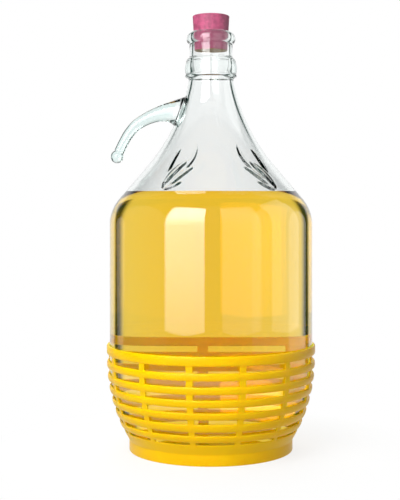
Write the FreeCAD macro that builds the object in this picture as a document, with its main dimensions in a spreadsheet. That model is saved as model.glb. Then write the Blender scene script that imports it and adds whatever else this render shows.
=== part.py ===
"""Glass carboy: a five-litre demijohn of wine in its moulded basket, closed with a rubber stopper.

Millimetres, +Z up. The origin is the centre of the basket's foot, on the surface it stands on. The
bottle's hook handle points along -X. Every solid but the handle is turned about the Z axis.
"""

import FreeCAD, Part
import math
import os
import re
import Sketcher

DIMENSIONS = {
    # bottle, outside
    "body_radius": 86.8,
    "wall_top": 192.0,
    "shoulder_bend": 34.0,  # radius of the turn from the wall into the cone
    "shoulder_lean": 40.3,  # degrees between the cone and the vertical
    "cone_top_radius": 54.0,
    "neck_bend": 158.0,  # radius of the long hollow sweep up to the neck
    "neck_lean": 11.0,  # degrees between the top of the sweep and the vertical
    "collar_radius": 21.0,
    "collar_bulge": 18.0,  # radius of the ring's rounded side
    "collar_bottom": 318.5,
    "collar_top": 334.0,
    "neck_radius": 18.6,
    "lip_radius": 19.8,
    "lip_bulge": 7.0,  # radius of the bead's rounded side
    "lip_bottom": 347.0,
    "bottle_top": 358.0,
    "mouth_rim": 18.6,  # outer radius of the flat round the mouth
    # bottle, inside and base
    "glass_wall": 3.6,
    "glass_floor": 5.0,
    "bore_radius": 15.25,
    "heel_radius": 12.0,
    "rest_ring_radius": 50.0,  # inner edge of the flat ring that the bottle stands on
    "punt_height": 9.0,  # the push-up at the middle of the base
    "punt_flat": 6.0,  # radius of the level disc at the top of the push-up
    "punt_bend": 150.0,
    "inner_punt_bend": 240.0,
    "base_gap": 0.2,  # between the bottle and the basket's floor
    # wine
    "wine_level": 218.4,
    "wine_gap": 0.05,
    # handle: sections along the hook from the wall of the neck to its free end
    "pad_reach": 26.2,
    "pad_height": 289.0,
    "pad_lean": -21.0,
    "pad_tall": 13.2,
    "pad_wide": 9.0,
    "root_reach": 37.0,
    "root_height": 288.5,
    "root_lean": 6.0,
    "root_tall": 8.4,
    "root_wide": 6.8,
    "arm_reach": 53.0,
    "arm_height": 284.0,
    "arm_lean": 21.0,
    "arm_thick": 5.2,
    "knee_reach": 64.6,
    "knee_height": 277.2,
    "knee_lean": 43.0,
    "knee_thick": 4.8,
    "shank_reach": 72.4,
    "shank_height": 267.2,
    "shank_lean": 58.0,
    "shank_thick": 4.5,
    "tip_reach": 79.6,
    "tip_height": 252.6,
    "tip_lean": 67.0,
    "tip_thick": 4.3,
    "ball_reach": 80.9,
    "ball_height": 249.2,
    "ball_radius": 5.6,
    # stopper
    "stopper_top_radius": 15.9,
    "stopper_bottom_radius": 14.1,
    "stopper_bottom": 340.7,
    "stopper_top": 371.3,
    "stopper_edge": 0.8,
    # basket
    "basket_radius": 88.6,  # outside of the ribs at the rim
    "basket_wall": 1.5,
    "basket_bend": 136.0,  # radius of the sides' inward curve, seen from the side
    "bend_top": 78.0,  # the sides are upright above this height
    "rim_radius": 89.3,
    "rim_top": 90.0,
    "rim_bottom": 82.3,
    "rim_edge": 0.7,
    "hoop_bulge": 5.4,  # radius of each hoop's rounded outer side
    "foot_radius": 70.0,
    "foot_inside_radius": 66.5,
    "foot_top": 8.6,
    "floor_bottom": 1.6,
    "floor_top": 4.0,
    "floor_hole_radius": 17.0,
    "floor_slot_inside": 24.0,
    "floor_slot_outside": 47.0,
    "window_cut_inside": 61.0,
    "window_cut_outside": 96.0,
    "rib_turn": -4.27,  # degrees that the openings are turned about the Z axis
    "rib_angle": 3.6,
    "rib_count": 13,
}

# Bottom and top of each row of openings in the basket, from the rim down.
OPENINGS = [
    (76.4, 82.3),
    (65.5, 70.9),
    (55.2, 60.0),
    (44.8, 49.6),
    (35.3, 39.5),
    (25.6, 29.2),
    (17.6, 20.3),
]
for row, (bottom, top) in enumerate(OPENINGS):
    DIMENSIONS[f"opening_bottom_{row}_row"] = bottom
    DIMENSIONS[f"opening_top_{row}_row"] = top

doc = FreeCAD.newDocument("carboy")
sheet = doc.addObject("Spreadsheet::Sheet", "dims")
for line, (name, value) in enumerate(DIMENSIONS.items(), start=1):
    sheet.set(f"A{line}", name)
    sheet.set(f"B{line}", str(value))
    sheet.setAlias(f"B{line}", name)
doc.recompute()

ALIAS = re.compile(r"\b(" + "|".join(sorted(DIMENSIONS, key=len, reverse=True)) + r")\b")


def cells(formula):
    """The formula with each dimension's name pointed at its cell."""
    return ALIAS.sub(r"dims.\1", formula)


def value_of(formula):
    """What a formula of dimensions comes to now, in millimetres."""
    return float(sheet.evalExpression(cells(formula)))


def origin_feature(body, role):
    """One of a body's own origin planes or axes."""
    return next(f for f in body.Origin.OriginFeatures if f.Role == role)


def side_sketch(body, name):
    """A sketch on the body's XZ plane, whose X is the radius and whose Y is the height."""
    sketch = body.newObject("Sketcher::SketchObject", name)
    sketch.AttachmentSupport = [(origin_feature(body, "XZ_Plane"), "")]
    sketch.MapMode = "FlatFace"
    return sketch


def arc_between(start, end, radius, hollow):
    """The short arc from start to end. Going round the outline, a hollow one turns clockwise."""
    along = end - start
    rise = math.sqrt(radius**2 - (along.Length / 2) ** 2)
    left = FreeCAD.Vector(-along.y, along.x, 0).normalize()
    side = -1 if hollow else 1
    centre = (start + end) / 2 + left * rise * side
    first = math.atan2(start.y - centre.y, start.x - centre.x)
    last = math.atan2(end.y - centre.y, end.x - centre.x)
    if hollow:
        first, last = last, first
    circle = Part.Circle(centre, FreeCAD.Vector(0, 0, 1), radius)
    return Part.ArcOfCircle(circle, first, last)


def draw_outline(sketch, corners):
    """Draws a closed anticlockwise outline. Each corner is (radius, height) or, where the side that
    ends there is an arc, (radius, height, the arc's radius, "round" or "hollow"), all formulas."""
    places = [FreeCAD.Vector(value_of(c[0]), value_of(c[1]), 0) for c in corners]
    ends = []
    for index, corner in enumerate(corners):
        start = places[index - 1]
        end = places[index]
        hollow = len(corner) == 4 and corner[3] == "hollow"
        if len(corner) == 4:
            shape = arc_between(start, end, value_of(corner[2]), hollow)
        else:
            shape = Part.LineSegment(start, end)
        side = sketch.addGeometry(shape)
        ends.append((side, 2, 1) if hollow else (side, 1, 2))
        if len(corner) == 4:
            bend = sketch.addConstraint(Sketcher.Constraint("Radius", side, value_of(corner[2])))
            sketch.setExpression(f"Constraints[{bend}]", cells(corner[2]))
    for index, corner in enumerate(corners):
        side, _, last = ends[index]
        after, first, _ = ends[(index + 1) % len(corners)]
        sketch.addConstraint(Sketcher.Constraint("Coincident", side, last, after, first))
        for kind, formula in (("DistanceX", corner[0]), ("DistanceY", corner[1])):
            size = value_of(formula)
            if size == 0:
                across = -2 if kind == "DistanceX" else -1
                sketch.addConstraint(Sketcher.Constraint("PointOnObject", side, last, across))
            else:
                pin = sketch.addConstraint(Sketcher.Constraint(kind, -1, 1, side, last, size))
                sketch.setExpression(f"Constraints[{pin}]", cells(formula))


def turned_body(label, corners):
    """A body made by turning an outline about the Z axis."""
    body = doc.addObject("PartDesign::Body", label)
    sketch = side_sketch(body, f"{label}_outline")
    draw_outline(sketch, corners)
    turn = body.newObject("PartDesign::Revolution", f"{label}_turned")
    turn.Profile = sketch
    turn.ReferenceAxis = (origin_feature(body, "Z_Axis"), [""])
    turn.Angle = 360
    return body


# The bottle's outline as formulas. Each pair is a place on the outside and the same place on the
# inside of the glass, measured square to the wall.
shoulder_x = "(body_radius - shoulder_bend * (1 - cos(shoulder_lean)))"
shoulder_z = "(wall_top + shoulder_bend * sin(shoulder_lean))"
cone_z = f"({shoulder_z} + ({shoulder_x} - cone_top_radius) / tan(shoulder_lean))"
neck_x = "(cone_top_radius - neck_bend * (cos(neck_lean) - cos(shoulder_lean)))"
neck_z = f"({cone_z} + neck_bend * (sin(shoulder_lean) - sin(neck_lean)))"
bottle_bottom = "(floor_top + base_gap)"
# The belly follows the basket's curve, and the heel turns from it into the base.
belly_x = "(basket_radius - basket_bend)"
belly_bend = f"(body_radius - {belly_x})"
heel_sine = f"((bend_top - {bottle_bottom} - heel_radius) / ({belly_bend} - heel_radius))"
heel_cosine = f"(sqrt(1 - {heel_sine}^2))"
heel_centre = f"({belly_x} + ({belly_bend} - heel_radius) * {heel_cosine})"
inner_bottom = f"({bottle_bottom} + glass_floor)"


def inside_corners(offset):
    """The inside of the glass from the base up to the cone, moved inward by an offset."""
    wall = f"(glass_wall + {offset})"
    heel = f"(heel_radius - {wall})"
    # The heel's turn stops level with the floor of the glass, this far below its centre.
    drop = f"(heel_radius - glass_floor - {offset})"
    return [
        ("0", f"{inner_bottom} + punt_height + {offset}"),
        ("punt_flat", f"{inner_bottom} + punt_height + {offset}"),
        (
            f"{heel_centre} + sqrt({heel}^2 - {drop}^2)",
            f"{inner_bottom} + {offset}",
            "inner_punt_bend",
            "hollow",
        ),
        (
            f"{belly_x} + ({belly_bend} - {wall}) * {heel_cosine}",
            f"bend_top - ({belly_bend} - {wall}) * {heel_sine}",
            heel,
            "round",
        ),
        (f"body_radius - {wall}", "bend_top", f"{belly_bend} - {wall}", "round"),
        (f"body_radius - {wall}", "wall_top"),
        (
            f"{shoulder_x} - {wall} * cos(shoulder_lean)",
            f"{shoulder_z} - {wall} * sin(shoulder_lean)",
            f"shoulder_bend - {wall}",
            "round",
        ),
    ]


def outward(corners):
    """The same outline walked the other way, each arc kept with the side that it belongs to."""
    walked = []
    swap = {"round": "hollow", "hollow": "round"}
    for index in range(len(corners) - 1, -1, -1):
        place = corners[index][:2]
        side = corners[index + 1] if index + 1 < len(corners) else ()
        if len(side) == 4:
            place = (*place, side[2], swap[side[3]])
        walked.append(place)
    return walked


def make_bottle():
    """Blown glass: push-up base, belly, wall, shoulder, hollow sweep, collar, neck and bead lip."""
    outside = [
        ("0", f"{bottle_bottom} + punt_height"),
        ("punt_flat", f"{bottle_bottom} + punt_height"),
        ("rest_ring_radius", bottle_bottom, "punt_bend", "hollow"),
        (heel_centre, bottle_bottom),
        (
            f"{belly_x} + {belly_bend} * {heel_cosine}",
            f"bend_top - {belly_bend} * {heel_sine}",
            "heel_radius",
            "round",
        ),
        ("body_radius", "bend_top", belly_bend, "round"),
        ("body_radius", "wall_top"),
        (shoulder_x, shoulder_z, "shoulder_bend", "round"),
        ("cone_top_radius", cone_z),
        (neck_x, neck_z, "neck_bend", "hollow"),
        ("collar_radius", "collar_bottom"),
        ("collar_radius", "collar_top", "collar_bulge", "round"),
        ("neck_radius", "collar_top + 1"),
        ("neck_radius", "lip_bottom - 1"),
        ("lip_radius", "lip_bottom"),
        ("mouth_rim", "bottle_top", "lip_bulge", "round"),
        ("bore_radius", "bottle_top"),
    ]
    neck_inside = [
        (
            f"{neck_x} - glass_wall * cos(neck_lean)",
            f"{neck_z} - glass_wall * sin(neck_lean)",
            "neck_bend + glass_wall",
            "hollow",
        ),
        ("bore_radius", "collar_top"),
    ]
    cone_inside = (
        "cone_top_radius - glass_wall * cos(shoulder_lean)",
        f"{cone_z} - glass_wall * sin(shoulder_lean)",
    )
    inside = [*inside_corners("0"), cone_inside, *neck_inside]
    return turned_body("bottle", outside + outward(inside))


def make_wine():
    """The filling: it touches the glass all round but for a hair, and its top is level."""
    slope = "tan(shoulder_lean)"
    wall = "(glass_wall + wine_gap)"
    edge_x = f"({shoulder_x} - {wall} * cos(shoulder_lean))"
    edge_z = f"({shoulder_z} - {wall} * sin(shoulder_lean))"
    surface_x = f"{edge_x} - (wine_level - {edge_z}) * {slope}"
    corners = [*inside_corners("wine_gap"), (surface_x, "wine_level"), ("0", "wine_level")]
    return turned_body("wine", corners)


def make_stopper():
    """A solid rubber cone with its edges just broken."""
    taper = "((stopper_top_radius - stopper_bottom_radius) / (stopper_top - stopper_bottom))"
    corners = [
        ("0", "stopper_bottom"),
        ("stopper_bottom_radius - stopper_edge", "stopper_bottom"),
        (
            f"stopper_bottom_radius + stopper_edge * {taper}",
            "stopper_bottom + stopper_edge",
            "stopper_edge",
            "round",
        ),
        (
            f"stopper_top_radius - stopper_edge * {taper}",
            "stopper_top - stopper_edge",
        ),
        ("stopper_top_radius - stopper_edge", "stopper_top", "stopper_edge", "round"),
        ("0", "stopper_top"),
    ]
    return turned_body("stopper", corners)


def basket_outside(height):
    """The radius of the ribs' outer side at a height below the bend's top."""
    return f"({belly_x} + sqrt(basket_bend^2 - (bend_top - ({height}))^2))"


def basket_inside(height):
    """The radius of the basket's inner side at a height below the bend's top."""
    return f"({belly_x} + sqrt((basket_bend - basket_wall)^2 - (bend_top - ({height}))^2))"


def make_basket():
    """One moulding: foot ring, spoked floor, ribs, bulging hoops between the openings, and rim."""
    last = len(OPENINGS) - 1
    corners = [
        ("floor_hole_radius", "floor_bottom"),
        ("foot_inside_radius", "floor_bottom"),
        ("foot_inside_radius", "0"),
        ("foot_radius", "0"),
        ("foot_radius", "foot_top"),
        (basket_outside("foot_top"), "foot_top"),
    ]
    for row in range(last, 0, -1):
        bottom = f"opening_bottom_{row}_row"
        top = f"opening_top_{row}_row"
        hoop = (basket_outside(bottom), bottom)
        corners.append(hoop if row == last else (*hoop, "hoop_bulge", "round"))
        corners.append((basket_outside(top), top))
    corners += [
        (basket_outside("opening_bottom_0_row"), "opening_bottom_0_row", "hoop_bulge", "round"),
        ("basket_radius", "bend_top"),
        ("basket_radius", "rim_bottom"),
        ("rim_radius", "rim_bottom"),
        ("rim_radius", "rim_top - rim_edge"),
        ("rim_radius - rim_edge", "rim_top", "rim_edge", "round"),
        ("basket_radius - basket_wall", "rim_top"),
        ("basket_radius - basket_wall", "bend_top"),
        (basket_inside("floor_top"), "floor_top", "basket_bend - basket_wall", "hollow"),
        ("floor_hole_radius", "floor_top"),
    ]
    body = turned_body("basket", corners)
    windows = side_sketch(body, "basket_windows")
    for row in range(len(OPENINGS)):
        low = f"opening_bottom_{row}_row"
        high = f"opening_top_{row}_row"
        draw_outline(
            windows,
            [
                ("window_cut_inside", low),
                ("window_cut_outside", low),
                ("window_cut_outside", high),
                ("window_cut_inside", high),
            ],
        )
    draw_outline(
        windows,
        [
            ("floor_slot_inside", "floor_bottom - 1"),
            ("floor_slot_outside", "floor_bottom - 1"),
            ("floor_slot_outside", "floor_top + 1"),
            ("floor_slot_inside", "floor_top + 1"),
        ],
    )
    cut = body.newObject("PartDesign::Groove", "basket_window_cut")
    cut.Profile = windows
    cut.ReferenceAxis = (origin_feature(body, "Z_Axis"), [""])
    cut.Midplane = True
    cut.setExpression("Angle", cells("360 / rib_count - rib_angle"))
    pattern = body.newObject("PartDesign::PolarPattern", "basket_window_ring")
    pattern.Originals = [cut]
    pattern.Axis = (origin_feature(body, "Z_Axis"), [""])
    pattern.Angle = 360
    pattern.setExpression("Occurrences", cells("rib_count"))
    body.Tip = pattern
    body.Placement.Rotation = FreeCAD.Rotation(FreeCAD.Vector(0, 0, 1), 0)
    body.setExpression("Placement.Rotation.Angle", cells("rib_turn * 1 deg"))
    return body


def hook_section(name, tall, wide):
    """One section of the hook, square to its run: tall in the hook's plane and wide across it."""
    section = doc.addObject("Part::Ellipse", f"handle_{name}_section")
    section.setExpression("MajorRadius", cells(tall))
    section.setExpression("MinorRadius", cells(wide))
    section.Placement.Rotation = FreeCAD.Rotation(FreeCAD.Vector(0, 1, 0), 90)
    section.setExpression("Placement.Base.x", cells(f"-{name}_reach"))
    section.setExpression("Placement.Base.z", cells(f"{name}_height"))
    section.setExpression("Placement.Rotation.Angle", cells(f"90 deg - {name}_lean * 1 deg"))
    return section


def make_handle(bottle):
    """A rod of glass drawn out of a pad on the neck into a hook, with a ball at its free end."""
    sections = [hook_section(name, f"{name}_tall", f"{name}_wide") for name in ("pad", "root")]
    for name in ("arm", "knee", "shank", "tip"):
        sections.append(hook_section(name, f"{name}_thick", f"{name}_thick"))
    hook = doc.addObject("Part::Loft", "handle_hook")
    hook.Sections = sections
    hook.Solid = True
    ball = doc.addObject("Part::Sphere", "handle_ball")
    ball.setExpression("Radius", cells("ball_radius"))
    ball.setExpression("Placement.Base.x", cells("-ball_reach"))
    ball.setExpression("Placement.Base.z", cells("ball_height"))
    drawn = doc.addObject("Part::Fuse", "handle_drawn")
    drawn.Base = hook
    drawn.Tool = ball
    handle = doc.addObject("Part::Cut", "handle")
    handle.Base = drawn
    handle.Tool = bottle
    return handle


bottle = make_bottle()
pieces = [make_basket(), bottle, make_handle(bottle), make_wine(), make_stopper()]
doc.recompute()

for item in doc.Objects:
    if "Invalid" in item.State or "Error" in item.State:
        raise RuntimeError(f"{item.Label} did not compute: {item.State}")
for piece in pieces:
    if piece.Shape.isNull() or not piece.Shape.isValid():
        raise RuntimeError(f"{piece.Label} has no valid shape")

os.makedirs("parts", exist_ok=True)
for piece in pieces:
    piece.Shape.exportStep(f"parts/{piece.Label}.step")
    box = piece.Shape.BoundBox
    print(
        f"{piece.Label}: {len(piece.Shape.Solids)} solid, {piece.Shape.Volume / 1000:.1f} ml, "
        f"z {box.ZMin:.2f} to {box.ZMax:.2f}, x {box.XMin:.2f} to {box.XMax:.2f}"
    )
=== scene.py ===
"""Glass carboy: a demijohn of white wine in its moulded basket, closed with a rubber stopper.

Every size is in metres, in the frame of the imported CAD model: +Z up, the basket's foot on the floor
round the origin, the hook handle towards -X and the front towards -Y.
"""

import math

import bmesh
import bpy
import numpy as np
from bpy.props import FloatProperty, FloatVectorProperty, IntProperty, PointerProperty
from bpy.types import Operator, Panel, PropertyGroup
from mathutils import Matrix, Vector


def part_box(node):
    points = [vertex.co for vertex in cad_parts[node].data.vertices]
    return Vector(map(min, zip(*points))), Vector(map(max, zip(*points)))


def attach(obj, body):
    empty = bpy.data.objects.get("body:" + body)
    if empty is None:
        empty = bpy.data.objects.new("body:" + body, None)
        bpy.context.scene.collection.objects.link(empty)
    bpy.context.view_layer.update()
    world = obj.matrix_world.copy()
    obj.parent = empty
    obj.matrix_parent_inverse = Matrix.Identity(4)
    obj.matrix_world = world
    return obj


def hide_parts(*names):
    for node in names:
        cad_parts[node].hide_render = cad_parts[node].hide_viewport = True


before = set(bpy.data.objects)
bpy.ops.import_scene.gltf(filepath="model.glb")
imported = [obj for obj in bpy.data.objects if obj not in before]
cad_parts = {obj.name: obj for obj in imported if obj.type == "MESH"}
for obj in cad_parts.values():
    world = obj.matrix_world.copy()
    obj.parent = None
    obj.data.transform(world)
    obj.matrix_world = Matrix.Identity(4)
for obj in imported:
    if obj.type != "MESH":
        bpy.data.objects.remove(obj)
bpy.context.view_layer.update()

bl_info = {
    "name": "Glass carboy",
    "version": (1, 0, 0),
    "blender": (4, 5, 0),
    "location": "View3D > Sidebar > Carboy",
    "description": "Makes a demijohn of wine in its basket round the packed CAD frame",
    "category": "Add Mesh",
}

BOTTLE_LOW, BOTTLE_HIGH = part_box("bottle")
WINE_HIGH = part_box("wine")[1]
STOPPER_LOW, STOPPER_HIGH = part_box("stopper")
BASKET_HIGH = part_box("basket")[1]
MM = 0.001


def length(name, description, default):
    """A size in metres that a user may change."""
    return FloatProperty(name=name, description=description, default=default, unit="LENGTH", precision=5)


def angle(name, description, degrees):
    """An angle that a user may change."""
    default = math.radians(degrees)
    return FloatProperty(name=name, description=description, default=default, unit="ROTATION")


def colour(name, description, default):
    """A linear colour that a user may change."""
    return FloatVectorProperty(
        name=name, description=description, default=default, subtype="COLOR", min=0, max=1
    )


class BottleSizes(PropertyGroup):
    """Sizes of the blown glass."""

    body_radius: length("Body radius", "Outside of the upright wall", BOTTLE_HIGH.y)
    base: length("Base", "Height of the ring that the bottle stands on", BOTTLE_LOW.z)
    top: length("Top", "Height of the mouth's rim", BOTTLE_HIGH.z - 0.8 * MM)
    wall: length("Wall", "Thickness of the glass", 3.6 * MM)
    floor: length("Floor", "Thickness of the glass at the base", 5.0 * MM)
    belly_bend: length("Belly bend", "Radius of the belly's curve, seen from the side", 134.2 * MM)
    belly_top: length("Belly top", "Height where the wall becomes upright", 78.0 * MM)
    heel_bend: length("Heel bend", "Radius of the turn into the base", 12.0 * MM)
    rest_ring: length("Rest ring", "Inner radius of the ring it stands on", 50.0 * MM)
    punt: length("Push-up", "Rise of the middle of the base", 9.0 * MM)
    wall_top: length("Wall top", "Height where the shoulder begins", 192.0 * MM)
    shoulder_bend: length("Shoulder bend", "Radius of the shoulder's turn", 34.0 * MM)
    shoulder_lean: angle("Shoulder lean", "Angle between the cone and the vertical", 40.3)
    cone_top: length("Cone top", "Radius where the cone becomes the sweep", 54.0 * MM)
    neck_bend: length("Neck bend", "Radius of the hollow sweep to the neck", 158.0 * MM)
    neck_lean: angle("Neck lean", "Angle between the sweep's top and the vertical", 11.0)
    collar: length("Collar", "Radius of the collar ring", 22.5 * MM)
    collar_bottom: length("Collar bottom", "Height of the collar's lower edge", 318.5 * MM)
    collar_top: length("Collar top", "Height of the collar's upper edge", 334.0 * MM)
    neck: length("Neck", "Outside of the neck", 18.6 * MM)
    bore: length("Bore", "Inside of the neck", 15.25 * MM)
    lip: length("Lip", "Radius of the bead round the mouth", 20.9 * MM)
    lip_bottom: length("Lip bottom", "Height of the bead's lower edge", 347.6 * MM)
    relief: length("Relief", "How far the leaves stand out of the shoulder", 1.7 * MM)


class HandleSizes(PropertyGroup):
    """Sizes of the hook of glass on the shoulder."""

    sides: IntProperty(name="Sides", description="Facets round the rod", default=64, min=8)
    ball: length("Ball", "Radius of the free end", 5.6 * MM)


class WineSizes(PropertyGroup):
    """Sizes of the filling."""

    level: length("Level", "Height of the surface", WINE_HIGH.z - 0.8 * MM)
    seat: length("Seat", "How far the wine reaches into the glass, so that no air shows", 0.12 * MM)
    meniscus: length("Meniscus", "How far the edge creeps up the glass", 0.8 * MM)


class StopperSizes(PropertyGroup):
    """Sizes of the tapered rubber stopper."""

    top_radius: length("Top radius", "Radius of the top", STOPPER_HIGH.x)
    bottom_radius: length("Bottom radius", "Radius of the bottom", 14.1 * MM)
    edge: length("Edge", "Radius of the rounded edges", 0.9 * MM)


class BasketSizes(PropertyGroup):
    """Sizes of the moulded basket."""

    rim_radius: length("Rim radius", "Outside of the rim band", BASKET_HIGH.x)
    inside: length("Inside", "Inside of the upright part", 87.1 * MM)
    rib_radius: length("Rib radius", "Outside of the ribs below the rim", 88.6 * MM)
    rim_band: length("Rim band", "Height of the rim band's lower edge", 82.3 * MM)
    bend: length("Bend", "Radius of the sides' curve, seen from the side", 136.0 * MM)
    bend_top: length("Bend top", "Height where the sides become upright", 78.0 * MM)
    foot: length("Foot", "Outside of the foot ring", 70.0 * MM)
    foot_top: length("Foot top", "Height of the foot ring", 9.2 * MM)
    foot_wall: length("Foot wall", "Thickness of the foot ring", 3.5 * MM)
    floor: length("Floor", "Height of the floor's upper side", 4.0 * MM)
    under: length("Under", "Height of the floor's lower side", 1.6 * MM)
    hoop: length("Hoop", "How far the hoops bulge between the openings", 0.6 * MM)
    lip: length("Lip", "How far the rounded edges reach into the openings", 0.3 * MM)
    recess: length("Recess", "How far the wall lies back at the openings", 0.25 * MM)
    ribs: IntProperty(name="Ribs", description="Number of upright ribs", default=13, min=3)
    rib_angle: angle("Rib angle", "Width of a rib, round the axis", 3.7)
    rib_turn: angle("Rib turn", "Where the first opening's middle falls", -4.27)
    edge: length("Edge", "Radius of the moulded edges", 0.45 * MM)


class Colours(PropertyGroup):
    """Colours of the finishes."""

    plastic: colour("Plastic", "Basket", (1.0, 0.55, 0.0))
    # Painted glow: a lighter lemon for the inner side, standing in for light that comes through the
    # plastic.
    plastic_inside_painted_glow: colour("Plastic inside", "Inner side of the basket", (1.0, 0.86, 0.01))
    plastic_rubbed: colour("Rubbed plastic", "Rubbed edges of the basket", (1.0, 0.74, 0.04))
    rubber: colour("Rubber", "Stopper", (0.41, 0.07, 0.155))
    rubber_chalky: colour("Chalky rubber", "Rubbed edges of the stopper", (0.75, 0.42, 0.5))
    # A wine stain with a painted reflection of the golden light from the wine below.
    rubber_stain_and_wine_light: colour("Stained rubber", "Bottom of the stopper", (0.2, 0.12, 0.05))
    glass: colour("Glass", "Tint of thick glass", (0.66, 0.95, 0.88))
    glass_shadow: colour("Glass shadow", "Tint of the shadow of the glass", (0.86, 0.9, 0.89))
    hook: colour("Hook", "Tint of the handle's skin", (0.86, 0.95, 0.94))
    wine: colour("Wine", "Tint of a depth of wine", (0.998, 0.858, 0.07))
    wine_shadow: colour("Wine shadow", "Tint of the shadow of the wine", (0.98, 0.98, 0.98))


class StageSettings(PropertyGroup):
    """The camera and the floor."""

    distance: length("Distance", "From the camera to the bottle's axis", 0.904)
    eye: length("Eye height", "Height of the camera", 0.201)
    lens: FloatProperty(name="Lens", description="Focal length", default=75.6, unit="CAMERA")
    shift_x: FloatProperty(name="Shift across", description="Shift of the picture", default=-0.022)
    shift_y: FloatProperty(name="Shift up", description="Shift of the picture", default=-0.072)
    floor: length("Floor", "Radius of the floor", 0.55)


class Outline:
    """A turned piece's side view: places of radius and height, with its arcs stepped finely."""

    def __init__(self, radius, height):
        self.places = [Vector((radius, height))]

    def line(self, radius, height, steps=1):
        """A straight stretch."""
        start = self.places[-1]
        end = Vector((radius, height))
        self.places += [start.lerp(end, step / steps) for step in range(1, steps + 1)]
        return self

    def arc(self, radius, height, bend, side, steps):
        """A round stretch with the radius bend, whose centre is on the left for side 1."""
        start = self.places[-1]
        chord = Vector((radius, height)) - start
        rise = math.sqrt(max(bend**2 - (chord.length / 2) ** 2, 0))
        left = Vector((-chord.y, chord.x)).normalized()
        centre = start + chord / 2 + left * rise * side
        sweep = 2 * math.asin(min(chord.length / 2 / bend, 1)) * side
        arm = start - centre
        for step in range(1, steps + 1):
            turn = sweep * step / steps
            across = arm.x * math.cos(turn) - arm.y * math.sin(turn)
            up = arm.x * math.sin(turn) + arm.y * math.cos(turn)
            self.places.append(centre + Vector((across, up)))
        return self


def new_piece(name, vertices, faces, material):
    """A smooth-shaded mesh object."""
    mesh = bpy.data.meshes.new(name)
    mesh.from_pydata(vertices, [], faces)
    mesh.validate()
    mesh.shade_smooth()
    mesh.materials.append(material)
    piece = bpy.data.objects.new(name, mesh)
    bpy.context.scene.collection.objects.link(piece)
    return piece


def closed_piece(name, vertices, faces, material):
    """A piece whose mesh is closed, with every face turned outward."""
    piece = new_piece(name, vertices, faces, material)
    work = bmesh.new()
    work.from_mesh(piece.data)
    bmesh.ops.recalc_face_normals(work, faces=work.faces)
    work.to_mesh(piece.data)
    work.free()
    return piece


def stand_in(piece, body, slot, *nodes):
    """Puts a piece on a body in place of CAD nodes, and hides those nodes. The slot argument is not
    used.
    """
    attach(piece, body)
    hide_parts(*nodes)


def turned(places, angles, nudge=None):
    """Vertices and faces of an outline turned about Z. A place on the axis becomes one vertex, and
    nudge holds how far each vertex moves square to the outline, as an array of places by angles."""
    vertices, faces, rings = [], [], []
    count = len(angles)
    for row, place in enumerate(places):
        if place.x < 1e-7:
            rings.append([len(vertices)] * count)
            vertices.append((0, 0, place.y))
            continue
        before = places[max(row - 1, 0)]
        after = places[min(row + 1, len(places) - 1)]
        run = (after - before).normalized()
        rings.append(list(range(len(vertices), len(vertices) + count)))
        for column, turn in enumerate(angles):
            move = nudge[row, column] if nudge is not None else 0
            radius = place.x + run.y * move
            height = place.y - run.x * move
            vertices.append((radius * math.cos(turn), radius * math.sin(turn), height))
    for low, high in zip(rings, rings[1:]):
        for column in range(count):
            after = (column + 1) % count
            corners = [low[column], low[after], high[after], high[column]]
            kept = [c for i, c in enumerate(corners) if c not in corners[:i]]
            if len(kept) > 2:
                faces.append(kept)
    return vertices, faces


def even_angles(count):
    """Angles spaced evenly round the axis."""
    return [2 * math.pi * step / count for step in range(count)]


# ---------------------------------------------------------------- finishes


def new_group(name, inputs, outputs):
    """A node group with named number sockets. Returns it with its input node and its output node."""
    group = bpy.data.node_groups.new(name, "ShaderNodeTree")
    for socket, default in inputs.items():
        made = group.interface.new_socket(name=socket, in_out="INPUT", socket_type="NodeSocketFloat")
        made.default_value = default
    for socket in outputs:
        group.interface.new_socket(name=socket, in_out="OUTPUT", socket_type="NodeSocketFloat")
    return group, group.nodes.new("NodeGroupInput"), group.nodes.new("NodeGroupOutput")


def feed(tree, node, inputs):
    """Links each named input of a node to another node's output, or sets it to a plain value."""
    for name, value in inputs.items():
        if isinstance(value, bpy.types.NodeSocket):
            tree.links.new(value, node.inputs[name])
        else:
            node.inputs[name].default_value = value


def new_node(tree, kind, inputs=(), **settings):
    """Makes a node, with its inputs fed, and returns its outputs."""
    node = tree.nodes.new("ShaderNode" + kind)
    for name, value in settings.items():
        setattr(node, name, value)
    feed(tree, node, dict(inputs))
    return node.outputs


def number(tree, operation, *values):
    """A number worked out from others."""
    return new_node(tree, "Math", enumerate(values), operation=operation)["Value"]


def vector(tree, operation, result, *values):
    """A vector or a number worked out from vectors. result is the name of the node's output."""
    return new_node(tree, "VectorMath", enumerate(values), operation=operation)[result]


def noise(tree, place, scale, detail):
    """Soft noise from 0 to 1."""
    return new_node(tree, "TexNoise", {"Vector": place, "Scale": scale, "Detail": detail})["Fac"]


def spread(tree, value, low, high, start=0.3, end=0.7, ramp="LINEAR"):
    """Maps a value that runs from start to end onto low to high, and no further."""
    limits = {"From Min": start, "From Max": end, "To Min": low, "To Max": high}
    return new_node(tree, "MapRange", {"Value": value, **limits}, interpolation_type=ramp)["Result"]


def along_axes(tree, place):
    """The X, Y and Z of a place, as a node's outputs."""
    return new_node(tree, "SeparateXYZ", {"Vector": place})


def grain_group():
    """Fine grain and soft blotches, shared by the plastic, the rubber and the glass."""
    group, inside, outside = new_group(
        "moulding_grain", {"Grain Scale": 900.0, "Blotch Scale": 60.0}, ("Height", "Blotches")
    )
    place = new_node(group, "TexCoord")["Object"]
    for scale, result, detail in (("Grain Scale", "Height", 3), ("Blotch Scale", "Blotches", 5)):
        feed(group, outside, {result: noise(group, place, inside.outputs[scale], detail)})
    return group


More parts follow.
